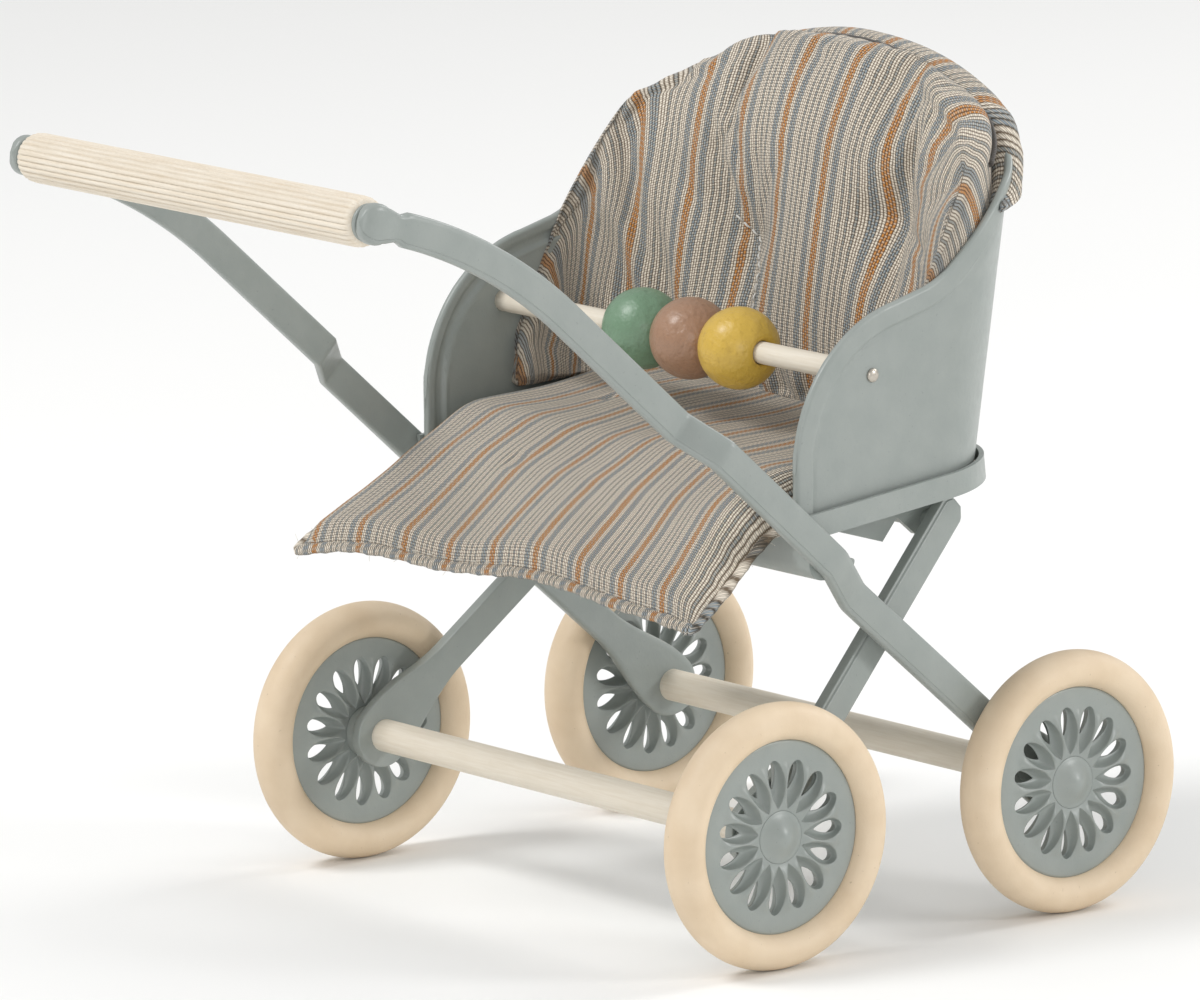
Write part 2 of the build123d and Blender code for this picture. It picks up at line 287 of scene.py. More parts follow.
def tyre_material():
    """Cream moulded tyre, faintly clouded, with a few dark specks."""
    s = Shader("cream_tyre", srgb(222, 201, 172), 0.5)
    cloudy = s.spread(s.noise(180, 4), 0.35, 0.7)
    tone = s.mix(cloudy, srgb(226, 206, 178), srgb(217, 195, 165))
    speck = s.spread(s.noise(1900, 2), 0.72, 0.78)
    s.out("Base Color", s.mix(s.math("MULTIPLY", speck, 0.4), tone, srgb(150, 128, 96)))
    s.out("Roughness", s.spread(s.noise(1200, 3), 0.3, 0.7, 0.48, 0.62))
    s.out("Normal", s.bump(s.noise(3800, 3), 0.00004, 0.5))
    return s.material


def bead_material(name, colour, shade):
    """Lacquered wooden bead with a lumpy brushed coat."""
    s = Shader(name, srgb(*colour), 0.42, Coat_Weight=0.35, Coat_Roughness=0.25)
    lumps = s.noise(520, 4, 0.55)
    worn = s.math("MULTIPLY", s.spread(s.noise(1500, 3), 0.55, 0.8), 0.5)
    s.out("Base Color", s.mix(worn, srgb(*colour), srgb(*shade)))
    fine = s.bump(s.noise(1700, 3), 0.00008, 0.7)
    s.out("Normal", s.bump(lumps, 0.0006, 0.7, fine))
    return s.material


def steel_material():
    s = Shader("nail_steel", srgb(190, 184, 174), 0.38, Metallic=0.8)
    scratched = s.noise(2400, 4)
    s.out("Roughness", s.spread(scratched, 0.3, 0.7, 0.3, 0.5))
    s.out("Base Color", s.mix(scratched, srgb(176, 168, 156), srgb(206, 200, 190)))
    s.out("Normal", s.bump(scratched, 0.00003, 0.6))
    return s.material


CREAM = (240, 230, 214)
OCHRE = (206, 132, 24)
BLUE_GREY = (138, 152, 161)
DOT_GREY = (138, 144, 144)
YARN_PITCH = 0.28
WEFT_PITCH = 0.33
WARP_ORDER = (
    [OCHRE] * 3 + [CREAM] * 2 + [BLUE_GREY] * 3 + [CREAM] * 3 + [DOT_GREY] + [CREAM] * 2 + [DOT_GREY]
    + [CREAM] * 2 + [DOT_GREY] + [CREAM] * 3 + [BLUE_GREY] * 3 + [CREAM] * 2
)


def linen_material():
    """Plain weave of coloured warp yarns and a cream weft, drawn yarn by yarn from the UV map, with
    painted shade in the gaps between yarns.
    """
    s = Shader("striped_linen", srgb(*CREAM), 0.9, Sheen_Weight=0.15, Sheen_Roughness=0.5)

    def yarns(coordinate, pitch):
        """Number of the yarn at a coordinate, and how far up its round back the point lies."""
        count = s.math("DIVIDE", coordinate, pitch)
        back = s.math("SINE", s.math("MULTIPLY", s.math("FRACT", count), pi))
        return s.math("FLOOR", count), back

    uv = s.node("UVMap", uv_map="UVMap").outputs[0]
    wobble = s.node("TexNoise", {"Vector": uv, "Scale": 0.5, "Detail": 3.0}).outputs["Color"]
    shifted = s.node("VectorMath", {0: wobble, 1: (0.5, 0.5, 0.5)}, operation="SUBTRACT").outputs[0]
    shift = s.node("VectorMath", {0: shifted, "Scale": 0.22}, operation="SCALE").outputs[0]
    woven = s.node("VectorMath", {0: uv, 1: shift}, operation="ADD").outputs[0]
    split = s.node("SeparateXYZ", {0: woven}).outputs
    warp_number, warp_place = yarns(split[0], YARN_PITCH)
    weft_number, weft_place = yarns(split[1], WEFT_PITCH)
    parity = s.math("FLOORED_MODULO", s.math("ADD", warp_number, weft_number), 2.0)
    over = s.math("MULTIPLY", parity, s.math("POWER", weft_place, 0.35))
    warp_height = s.math("MULTIPLY", warp_place, s.math("ADD", s.math("MULTIPLY", over, 0.6), 0.4))
    under = s.math("SUBTRACT", 1.0, parity)
    weft_cover = s.math("MULTIPLY", under, s.math("POWER", warp_place, 0.5))
    weft_height = s.math("MULTIPLY", s.math("MULTIPLY", weft_place, weft_cover), 0.86)
    height = s.math("MAXIMUM", warp_height, weft_height)
    repeat = len(WARP_ORDER)
    order = s.math("FLOORED_MODULO", warp_number, float(repeat))
    ramp = s.node("ValToRGB", {"Fac": s.math("DIVIDE", s.math("ADD", order, 0.5), float(repeat))})
    ramp.color_ramp.interpolation = "CONSTANT"
    stops = ramp.color_ramp.elements
    changes = [k for k in range(repeat) if k == 0 or WARP_ORDER[k] != WARP_ORDER[k - 1]]
    for number, k in enumerate(changes):
        stop = stops[number] if number < 2 else stops.new(k / repeat)
        stop.position = k / repeat
        stop.color = srgb(*WARP_ORDER[k])
    weft_shown = s.math("GREATER_THAN", weft_height, warp_height)
    pale_weft = s.mix(0.5, srgb(230, 219, 201), ramp.outputs[0])
    yarn = s.mix(weft_shown, ramp.outputs[0], pale_weft)
    slub_uv = s.node("Mapping", {"Vector": uv, "Scale": (3.4, 0.35, 1.0)}).outputs[0]
    slub = s.noise(1.0, vector=slub_uv)
    yarn = s.mix(s.spread(slub, 0.3, 0.75, 0.0, 0.28), yarn, srgb(236, 228, 214))
    cloudy = s.noise(0.09, vector=uv)
    yarn = s.mix(s.spread(cloudy, 0.35, 0.7, 0.0, 0.12), yarn, srgb(168, 160, 148))
    # Painted shade: the colour is darkened towards a warm near-black where the yarns sink, in the gaps
    # between them.
    depth = s.mix(s.spread(height, 0.22, 0.8, 0.0, 1.0), (0.18, 0.145, 0.11, 1), (1.0, 1.0, 1.0, 1))
    s.out("Base Color", s.mix(1.0, yarn, depth, "MULTIPLY"))
    fuzz = s.bump(s.noise(9000, 3), 0.00003, 0.4)
    s.out("Normal", s.bump(height, 0.00009, 0.9, fuzz))
    return s.material


def thread_material(name, colour):
    s = Shader(name, srgb(*colour), 0.75, Sheen_Weight=0.3)
    twist = s.node("TexWave", {"Vector": s.place(), "Scale": 1800.0, "Distortion": 2.0}).outputs["Fac"]
    s.out("Base Color", s.mix(twist, srgb(*colour), srgb(*[c * 0.8 for c in colour])))
    s.out("Normal", s.bump(twist, 0.00006, 0.7))
    return s.material


PAINT = paint_material()
DOWEL = wood_material("dowel_paint", (228, 220, 205), (219, 209, 191), 0.5)
GRIP_WOOD = wood_material("grip_wood", (231, 222, 207), (219, 206, 186), 0.6)
TYRE = tyre_material()
STEEL = steel_material()
LINEN = linen_material()
WHITE_THREAD = thread_material("white_thread", (240, 238, 232))
CREAM_THREAD = thread_material("cream_thread", (222, 214, 200))
# Dark brown tube laid along the pocket's top seam: painted shadow in the join between the pocket and the
# cushion.
SEAM_SHADOW = thread_material("seam_shadow", (70, 64, 58))


# --- wheels
SIDE_WORD = {1: "right", -1: "left"}
TYRE_BORE = 11.5
RIM_EDGE = 11.62


def wheel_centre(end, side):
    return np.array((side * HALF_TRACK, *AXLE[end][1:]))


def make_tyre(end, side):
    """Oval ring that sits on the disc's rim."""
    name = f"{end}_tyre_{SIDE_WORD[side]}"
    middle_radius = (WHEEL_RADIUS + TYRE_BORE) / 2
    half_height = (WHEEL_RADIUS - TYRE_BORE) / 2
    section = []
    for k in range(72):
        a = 2 * pi * (k + 0.5) / 72
        section.append((TYRE_HALF_WIDTH * sin(a), max(middle_radius - half_height * cos(a), RIM_EDGE)))
    centre = wheel_centre(end, side)
    piece = lathe_x(f"{name}_moulded", section, centre, TYRE, f"{end}_wheelset", 144, True)
    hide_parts(name)


PETALS = 15
PETAL_POINTS = 48
HUB_EDGE = 3.2
RIM_FLAT = 9.75
# Petals as (root radius, tip radius, half width, share of the length where it is widest).
FACE_PETAL = (3.42, 9.35, 1.2, 0.62)
HOLE_PETAL = (5.7, 9.12, 0.72, 0.7)
FACE_STEPS = (1.0, 0.7, 0.4, 0.15, 0.0)
WALL_STEPS = (0.05, 0.16, 0.34, 0.56, 0.78, 0.93, 1.0)


def petal_outline(petal):
    """Points round a drop shape along +u as (u, v), from its round tip, mirrored about v = 0."""
    root, tip, half_width, widest = petal
    outline = []
    for k in range(61):
        t = 0.5 + 0.5 * cos(pi * k / 60)
        if t > widest:
            share = sqrt(max(0.0, 1 - ((t - widest) / (1 - widest)) ** 2))
        else:
            share = sin(pi / 2 * t / widest) ** 0.8
        outline.append((root + (tip - root) * t, half_width * share))
    steps = np.array(outline)
    along = np.concatenate(([0], np.cumsum(np.linalg.norm(np.diff(steps, axis=0), axis=1))))
    places = np.linspace(0, along[-1], PETAL_POINTS // 2 + 1)
    upper = np.stack([np.interp(places, along, steps[:, k]) for k in range(2)], 1)
    return np.concatenate((upper, upper[-2:0:-1] * (1, -1)))


def sector_border():
    """For each petal point, a point on the border of its 24 degree sector, corners included."""
    half = pi / PETALS
    count = PETAL_POINTS // 2
    outer_share, inner_share = 0.16, 0.09
    upper = []
    for k in range(count + 1):
        share = k / count
        if share <= outer_share:
            radius, angle = RIM_FLAT, half * share / outer_share
        elif share < 1 - inner_share:
            t = (share - outer_share) / (1 - inner_share - outer_share)
            radius, angle = RIM_FLAT + (HUB_EDGE - RIM_FLAT) * t, half
        else:
            radius, angle = HUB_EDGE, half * (1 - share) / inner_share
        upper.append((radius * cos(angle), radius * sin(angle)))
    for radius, place in ((RIM_FLAT, outer_share), (HUB_EDGE, 1 - inner_share)):
        upper[round(place * count)] = (radius * cos(half), radius * sin(half))
    upper = np.array(upper)
    return np.concatenate((upper, upper[-2:0:-1] * (1, -1)))


def disc_height(radius):
    """Height of the ridges and of the flat rim over the disc's middle plane."""
    return 0.92 + 0.30 * smooth_step(3.0, 4.4, radius) * (1 - smooth_step(6.8, 9.2, radius))


def ridge_crest(radius):
    """How far the crest of a ridge stands over the edges of its two petals."""
    return 0.22 * smooth_step(3.6, 5.0, radius) * (1 - smooth_step(8.2, 9.4, radius))


def petal_sector():
    """Rings of one sector as (u, v, height): ridge, petal wall down to its hole, and the other face."""
    face, hole, border = petal_outline(FACE_PETAL), petal_outline(HOLE_PETAL), sector_border()
    rings = []
    for share in FACE_STEPS:
        swell = sin(pi / 2 * share) ** 0.8
        spots = [(u, v, hypot(u, v)) for u, v in face + (border - face) * share]
        rings.append([(u, v, disc_height(r) + ridge_crest(r) * swell) for u, v, r in spots])
    for share in WALL_STEPS:
        ring = face + (hole - face) * share**1.25
        fall = sin(pi / 2 * share) ** 0.9
        rings.append([(u, v, disc_height(hypot(u, v)) * (1 - 0.93 * fall)) for u, v in ring])
    return rings + [[(u, v, -h) for u, v, h in ring] for ring in reversed(rings)]


def make_wheel_disc(end, side):
    """Cast disc: petal-shaped hollows between rounded ridges, flat rim and domed hub."""
    centre = wheel_centre(end, side)
    sector_points, sector_faces = skin(petal_sector(), False)
    points, faces = [], []
    for a in turns(PETALS):
        faces += [tuple(len(points) + i for i in f) for f in sector_faces]
        for u, v, h in sector_points:
            points.append(centre + (side * h, u * cos(a) - v * sin(a), u * sin(a) + v * cos(a)))
    flat = disc_height(RIM_FLAT)
    rim = [(flat, RIM_FLAT), (flat, 9.9), (flat, 11.3), (flat - 0.04, 11.52), (flat - 0.18, RIM_EDGE)]
    rim.append((0.6, 11.98))
    hub_face = disc_height(HUB_EDGE)
    hub = [(hub_face - 0.02, HUB_EDGE + 0.02), (hub_face + 0.05, 3.1)]
    for k in range(1, 18):
        radius = 3.1 * (1 - k / 17)
        dome = (0.5 + 0.5 * cos(pi * radius / 3.15)) ** 0.8
        hub.append((hub_face + 0.05 + (2.2 - hub_face) * dome, radius + 0.002))
    boss = [(-hub_face, HUB_EDGE), (-hub_face - 0.1, 3.15), (-2.6, 3.1), (-2.95, 3.05), (-3.0, 2.6)]
    boss.append((-3.0, 0.01))
    name, body = f"{end}_wheel_disc_{SIDE_WORD[side]}", f"{end}_wheelset"
    petals = build_mesh(f"{name}_petals", points, faces, PAINT, body)
    weld(petals)
    turned = {"rim": rim + [(-x, r) for x, r in reversed(rim)], "hub": hub, "boss": boss}
    for part, profile in turned.items():
        placed = [(side * x, r) for x, r in profile]
        segments = 120 if part == "rim" else 72
        lathe_x(f"{name}_{part}", placed, centre, PAINT, body, segments, capped=part != "rim")
    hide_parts(name)


def weld(piece, distance=0.004):
    """Merge points that lie on each other, as along the borders of repeated sectors."""
    mesh = bmesh.new()
    mesh.from_mesh(piece.data)
    bmesh.ops.remove_doubles(mesh, verts=mesh.verts, dist=distance * MM)
    bmesh.ops.recalc_face_normals(mesh, faces=mesh.faces)
    mesh.to_mesh(piece.data)
    mesh.free()
    piece.data.shade_smooth()


def make_axle(end):
    half = high(f"{end}_axle_dowel")[0]
    r = AXLE_RADIUS
    profile = [(-half, r - 0.15), (-half + 0.15, r)]
    profile += [(x, r) for x in np.linspace(-half + 2, half - 2, 24)]
    profile += [(half - 0.15, r), (half, r - 0.15)]
    piece = lathe_x(f"{end}_axle_turned", profile, AXLE[end], DOWEL, f"{end}_wheelset", 72)
    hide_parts(f"{end}_axle_dowel")


# --- handle
FLUTES = 26
FLUTE_POINTS = 10
# Grip ends as (distance in from the end, share of the radius, share of the flute's depth).
GRIP_ENDS = [(0.0, 0.62, 0.0), (0.02, 0.72, 0.0), (0.12, 0.84, 0.15), (0.35, 0.93, 0.5)]
GRIP_ENDS += [(0.8, 0.985, 0.9), (1.4, 1.0, 1.0)]
COLLAR_INNER_X = 31.9


def make_grip():
    """Fluted grip: rounded ribs, rounded ends and a seat for each collar."""
    half = GRIP_HALF_LENGTH
    left = [(-half + d, share, depth) for d, share, depth in GRIP_ENDS]
    run = [(x, 1.0, 1.0) for x in np.linspace(-half + 3, half - 3, 40)]
    right = [(-x, share, depth) for x, share, depth in reversed(left)]
    rings = []
    for x, share, depth in left + run + right:
        ring = []
        for k, a in enumerate(turns(FLUTES * FLUTE_POINTS)):
            phase = (k % FLUTE_POINTS) / FLUTE_POINTS
            dip = 0.3 * depth * (1 - abs(sin(pi * phase)) ** 0.5)
            radius = (GRIP_RADIUS - dip) * share
            ring.append((x, GRIP[1] + radius * cos(a), GRIP[2] + radius * sin(a)))
        rings.append(ring)
    points, faces = skin(rings)
    piece = build_mesh("grip_fluted", points, faces, GRIP_WOOD, FRAME_BODY)
    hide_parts("handle_grip")


def make_collars():
    outer = high("handle_collar_right")[0]
    profile = [(COLLAR_INNER_X, 1.0), (COLLAR_INNER_X, 2.05), (COLLAR_INNER_X + 0.3, 2.2)]
    profile += [(outer - 0.25, 2.28), (outer - 0.08, 2.2), (outer, 2.0), (outer, 1.0)]
    centre = (0, GRIP[1], GRIP[2])
    for side, word in SIDE_WORD.items():
        placed = [(side * x, r) for x, r in profile]
        piece = lathe_x(f"collar_{word}", placed, centre, PAINT, FRAME_BODY)
        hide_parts(f"handle_collar_{word}")


# --- side bars and legs
def strap_section(half_width, half_thick, corner, crown, seam_at, seam_width, seam_depth):
    """Closed section of a strap as (across, outward), with a folded-sheet seam on its outer face."""
    points = []
    steps = 5

    def round_corner(ca, cb, start):
        for k in range(steps):
            a = start + pi / 2 * k / (steps - 1)
            points.append((ca + corner * cos(a), cb + corner * sin(a)))

    wide, thick = half_width - corner, half_thick - corner
    round_corner(wide, -thick, -pi / 2)
    round_corner(wide, thick, 0.0)
    face = [wide * (1 - k / 12) for k in range(1, 24)]
    face = [a for a in face if abs(a - seam_at) > seam_width * 1.6 and a > -wide + 0.02]
    face += [seam_at + seam_width * share for share in (1, 0.45, -0.45, -1)]
    for a in sorted(face, reverse=True):
        sunk = seam_depth if abs(a - seam_at) < seam_width * 0.6 else 0.0
        points.append((a, half_thick + crown * (1 - (a / half_width) ** 2) - sunk))
    round_corner(-wide, thick, pi / 2)
    round_corner(-wide, -thick, pi)
    points += [(a, -half_thick) for a in np.linspace(-wide + 0.05, wide - 0.05, 8)]
    return points


def make_strap(kind, end, side, run, offset_x, width, thickness, section):
    """Sweep a section along a resampled (y, z) run, scaled by width and thickness, and bore its lug."""
    rings = []
    for s, (y, z), (dy, dz) in zip(*run):
        x, w, t = offset_x(y), width(s), thickness(s)
        rings.append([(side * (x + b * t), y - dz * a * w, z + dy * a * w) for a, b in section])
    points, faces = skin(rings)
    if side < 0:
        faces = [tuple(reversed(f)) for f in faces]
    piece = build_mesh(f"{kind}_folded_{SIDE_WORD[side]}", points, faces, PAINT, FRAME_BODY)
    bore(piece, AXLE[end], side)
    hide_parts(f"{kind}_{SIDE_WORD[side]}")


def bore(piece, axle, side):
    """Cut an axle bore with a small countersink on the lug's inner face."""
    radius, sink, inner_x = AXLE_RADIUS + 0.1, 0.4, LUG_X - BAR_HALF_THICK
    profile = [(side * (inner_x - 2), radius + sink + 1.0), (side * (inner_x - 0.05), radius + sink)]
    profile += [(side * (inner_x + 0.4), radius), (side * (inner_x + 4), radius)]
    cutter = lathe_x("cutter", profile, (0, *axle[1:]), PAINT, FRAME_BODY)
    cut = piece.modifiers.new("bore", "BOOLEAN")
    cut.operation = "DIFFERENCE"
    cut.solver = "EXACT"
    cut.object = cutter
    apply_modifiers(piece)
    bpy.data.objects.remove(cutter)


def apply_modifiers(piece):
    bpy.context.view_layer.update()
    graph = bpy.context.evaluated_depsgraph_get()
    final = bpy.data.meshes.new_from_object(piece.evaluated_get(graph))
    piece.modifiers.clear()
    piece.data = final


LUG_RADIUS = 4.0
LUG_TIP = LUG_RADIUS - 0.02
LUG_X = 36.15
HANDLE_BAR_X = 33.8
BAR_HALF_WIDTH = 2.05
BAR_HALF_THICK = 0.7
STRAP_STEP = 0.45


def make_side_bar(side):
    """Folded strap from the handle to the front axle, bent out round the seat and back in."""
    axle = AXLE["front"][1:]
    corners = [GRIP[1:], (-39.7, 90.0), (8.5, 46.8), (12.7, 41.9), axle]
    line = filleted_path(corners, [62, 6, 6])
    line.append(axle + unit(axle - np.array(corners[3])) * LUG_TIP)
    line.insert(0, GRIP[1:] - np.array((2.38, -0.6)))
    run = resample(line, STRAP_STEP)
    axle_at = run[0][-1] - LUG_RADIUS + 0.02
    grip_at = 2.45

    def width(s):
        if s < grip_at:
            reach = max(0.0, 1 - ((s - grip_at) / 2.45) ** 2)
            return max(0.06, 2.42 * sqrt(reach)) / BAR_HALF_WIDTH
        if s < grip_at + 1.2:
            return 1.18 - 0.12 * (s - grip_at) ** 2
        neck = 0.80 + 0.20 * smooth_step(grip_at + 3.4, grip_at + 4.4, s)
        early = 1.18 - 0.173
        if s < grip_at + 3.4:
            return early + (0.80 - early) * smooth_step(grip_at + 1.2, grip_at + 3.2, s)
        if s < axle_at:
            flare = smooth_step(axle_at - 13.5, axle_at - 1.0, s)
            return neck + (LUG_RADIUS / BAR_HALF_WIDTH - 1) * flare
        reach = max(0.0, 1 - ((s - axle_at) / LUG_RADIUS) ** 2)
        return max(0.05, LUG_RADIUS / BAR_HALF_WIDTH * sqrt(reach))

    def thickness(s):
        swell = 0.4 * (1 - smooth_step(grip_at + 0.5, grip_at + 3.2, s))
        tip = sqrt(max(0.05, 1 - max(0.0, (grip_at - s) / 2.5) ** 2))
        return (1 + swell) * tip

    def ramp(start, end, y):
        return min(1.0, max(0.0, (y - start) / (end - start)))

    def offset_x(y):
        top = HANDLE_BAR_X + 0.2 * smooth_step(-54, -51, y)
        out = 3.7 * ramp(-12.0, -8.4, y)
        back = 1.55 * ramp(8.6, 12.4, y)
        return top + out - back

    section = strap_section(BAR_HALF_WIDTH, BAR_HALF_THICK, 0.42, 0.12, -1.5, 0.05, 0.05)
    make_strap("side_bar", "front", side, run, offset_x, width, thickness, section)


def make_leg(side):
    """Straight folded strap from the rear axle up to the back of the seat, leaning inward."""
    axle = AXLE["rear"][1:]
    top = np.array((34.3, 49.7))
    run = resample([axle - unit(top - axle) * LUG_TIP, axle, top], STRAP_STEP)

    def width(s):
        if s < LUG_TIP:
            return max(0.05, 2.0 * sqrt(max(0.0, 1 - ((LUG_TIP - s) / LUG_RADIUS) ** 2)))
        flare = 1 - smooth_step(LUG_TIP + 1.0, LUG_TIP + 13.0, s)
        chamfer = 0.55 * max(0.0, (s - run[0][-1] + 1.1) / 1.1)
        return 1 + flare - chamfer

    def thickness(s):
        return 0.875 + 0.125 * smooth_step(LUG_TIP + 3, LUG_TIP + 7, s)

    def offset_x(y):
        return LUG_X - 0.2227 * max(0.0, y - 1.8)

    section = strap_section(2.0, 0.8, 0.16, 0.03, 1.55, 0.12, 0.3)
    make_strap("leg", "rear", side, run, offset_x, width, thickness, section)


# --- bead bar
def make_bead_bar():
    half = high("bead_bar")[0]
    r = BEAD_BAR_RADIUS
    profile = [(x, r) for x in np.linspace(-half, half, 30)]
    centre = (0, *BEAD_BAR[1:])
    piece = lathe_x("bead_bar_turned", profile, centre, DOWEL, FRAME_BODY, 48)
    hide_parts("bead_bar")
    nail = []
    for k in range(7):
        a = pi / 2 * k / 6
        nail.append((SEAT_HALF_WIDTH - 0.34 + 0.4 * sin(a), 0.85 * cos(a) + 0.004))
    shank = [(31.5, 0.02), (32.0, 0.35), (SEAT_HALF_WIDTH - 0.45, 0.35), (SEAT_HALF_WIDTH - 0.4, 0.8)]
    for side, word in SIDE_WORD.items():
        placed = [(side * x, r) for x, r in shank + nail]
        head = lathe_x(f"bead_bar_nail_{word}", placed, centre, STEEL, FRAME_BODY, 32)
    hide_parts("bead_bar_nails")


def make_bead(colour, tone, shade):
    """Turned bead: a slightly squashed ball, its bore softened by lacquer."""
    node = f"bead_{colour}"
    centre = middle(node)
    radius = (high(node)[2] - low(node)[2]) / 2
    half = (high(node)[0] - low(node)[0]) / 2
    bore_radius = BEAD_BAR_RADIUS + 0.07
    profile = []
    start = math.acos(half / radius)
    for k in range(40):
        a = start + (pi - 2 * start) * k / 39
        profile.append((-radius * cos(a), radius * sin(a)))
    mouth = profile[-1][1]
    lip = [(half + 0.02, mouth - 0.25), (half - 0.08, bore_radius + 0.12), (half - 0.35, bore_radius)]
    inside = [(x, bore_radius) for x in np.linspace(half - 0.8, -half + 0.8, 6)]
    other_lip = [(-x, r) for x, r in reversed(lip)]
    piece = lathe_x(f"{node}_turned", profile + lip + inside + other_lip, centre,
                    bead_material(f"{colour}_lacquer", tone, shade), f"{node}_body", 72, True)
    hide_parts(node)


# --- seat shell
SHELL_LEAN = 0.1645
SHELL_BACK_Y = 38.5
SHELL_BACK_Z = 57
SHELL_SHEET = 0.6
SHELL_CORNER = 11.0
SHELL_ARCH = (100.5, 55.0)
SHELL_EDGE = [(4.3, 40), (4.3, 72.6), (26.6, 78.2), (41.8, 91.4), (47.5, 108), (60, 108)]
SHELL_EDGE_RADII = [19, 12, 6, 0.5]


def back_face(z):
    """Y of the leaning outer face of the seat's back."""
    return SHELL_BACK_Y + SHELL_LEAN * (z - SHELL_BACK_Z)


def pan_top(y):
    return 49.2 + 0.105 * y + SHELL_SHEET


def plan_length(half_width, back_y, corner, front_y):
    side = max(0.01, back_y - corner - front_y)
    return side, corner * pi / 2, half_width - corner


def plan_point(s, half_width, back_y, corner, front_y):
    """Point (x, y) and outward normal at length s along half the U-shaped plan, from its open end."""
    side, arc, _ = plan_length(half_width, back_y, corner, front_y)
    if s < side:
        return half_width, front_y + s, 1.0, 0.0
    if s < side + arc:
        a = (s - side) / corner
        x = half_width - corner + corner * cos(a)
        return x, back_y - corner + corner * sin(a), cos(a), sin(a)
    return half_width - corner - (s - side - arc), back_y, 0.0, 1.0


def arch(x, top, radius):
    return top - radius + sqrt(max(0.0, radius**2 - x * x))


def edge_height(line, y):
    """Height of a side outline at y."""
    rising = [p for p in line if p[0] > line[0][0] + 1e-4]
    start = line[len(line) - len(rising) - 1]
    ys = [start[0]] + [p[0] for p in rising]
    zs = [start[1]] + [p[1] for p in rising]
    return float(np.interp(y, ys, zs))


def column_top(place, line, top, radius, low_z):
    """Height at which a column of the seat's wall meets its edge; place(z) gives its (x, y)."""
    z = low_z
    while z < 108:
        x, y = place(z)
        if z > min(arch(x, top, radius), edge_height(line, y)):
            break
        z += 0.05
    return z


def spaced(fine, limit, step):
    """Fine stations near an edge, then even ones up to the limit."""
    values = [v for v in fine if v < limit - 0.3]
    count = max(1, round((limit - values[-1]) / step))
    return values + [values[-1] + (limit - values[-1]) * k / count for k in range(1, count + 1)]


# Distances in from the shell's edge that its hem and step need.
NEAR_EDGE = [0, 0.12, 0.3, 0.55, 0.85, 1.2, 1.6, 1.95, 2.2, 2.4, 2.6, 2.8]
NEAR_EDGE += [3.0, 3.25, 3.6, 4.1, 4.8, 5.7, 6.8, 8.2, 9.8]


def make_shell():
    """Pressed sheet: hemmed edge, then a step 3 mm inside it, all following the seat's edge line."""
    line = filleted_path(SHELL_EDGE, SHELL_EDGE_RADII, 0.25)
    fixed = 11.0
    half_ref = sum(plan_length(SEAT_HALF_WIDTH, SHELL_BACK_Y, SHELL_CORNER, SEAT_FRONT))
    stations = spaced(NEAR_EDGE, half_ref, 1.1)

    def run(q, z):
        half = sum(plan_length(SEAT_HALF_WIDTH, back_face(z), SHELL_CORNER, SEAT_FRONT))
        return q if q < fixed else fixed + (q - fixed) * (half - fixed) / (half_ref - fixed)

    def on_face(q, z):
        return plan_point(run(q, z), SEAT_HALF_WIDTH, back_face(z), SHELL_CORNER, SEAT_FRONT)

    columns = []
    for q in stations:
        place = lambda z, q=q: on_face(q, z)
        top = column_top(lambda z: place(z)[:2], line, *SHELL_ARCH, 51.0)
        foot = pan_top(place(50)[1])
        drops = spaced(NEAR_EDGE, 12.0, 0.8)
        rest = [12.0 + (top - foot - 12.0) * k / 26 for k in range(1, 27)]
        scale = min(1.0, (top - foot) / 14)
        columns.append([(q, top - d * scale if d <= 12 else top - d, place) for d in drops + rest])
        if scale < 1:
            columns[-1] = [(q, top - (top - foot) * k / 51, place) for k in range(len(drops) + 26)]
    flat = np.array([[(run(q, z), z) for q, z, _ in column] for column in columns])
    rim = np.concatenate((flat[:, 0], np.stack((np.zeros(60), np.linspace(49, flat[0, 0, 1], 60)), 1)))
    spans = [(a, b) for a, b in zip(rim[:-1], rim[1:]) if np.hypot(*(a - b)) < 6]
    dense = np.concatenate([np.linspace(a, b, 8) for a, b in spans])
    outer, inner = [], []
    for column, spots in zip(columns, flat):
        outs, ins = [], []
        for (q, z, place), spot in zip(column, spots):
            d = float(np.min(np.hypot(*(dense - spot).T)))
            x, y, nx, ny = place(z)
            step = 0.42 * (1 - smooth_step(2.4, 2.8, d)) - 0.12 * math.exp(-(((d - 2.9) / 0.22) ** 2))
            fold = SHELL_SHEET + 0.45 * (1 - smooth_step(1.2, 1.7, d))
            soften = 0.28 * max(0.0, 1 - d / 0.4) ** 2
            outs.append((x + nx * (step - soften - 0.42), y + ny * (step - soften - 0.42), z))
            reach = step - fold + soften - 0.42
            ins.append((x + nx * reach, y + ny * reach, z))
        outer.append(outs)
        inner.append(ins)
    mirror = lambda grid: grid + [[(-x, y, z) for x, y, z in column] for column in reversed(grid[:-1])]
    outer, inner = mirror(outer), mirror(inner)
    rings = [outs + ins[::-1] for outs, ins in zip(outer, inner)]
    points, faces = skin(rings)
    piece = build_mesh("seat_shell_pressed", points, faces, PAINT, FRAME_BODY)
    weld(piece, 0.002)
    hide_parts("seat_shell")


# --- cushions
CLOTH_SCALE = 10
CLOTH_FRAMES = 20
FILLING = {
    "quality": 6, "mass": 0.25, "tension_stiffness": 18, "compression_stiffness": 18,
    "shear_stiffness": 6, "bending_stiffness": 0.12, "air_damping": 4, "use_pressure": True,
}


def woven_mesh(name, points, faces, uv):
    """A linen mesh at CLOTH_SCALE times its size, ready for the cloth simulation."""
    return build_mesh(name, points, faces, LINEN, None, uv, CLOTH_SCALE)


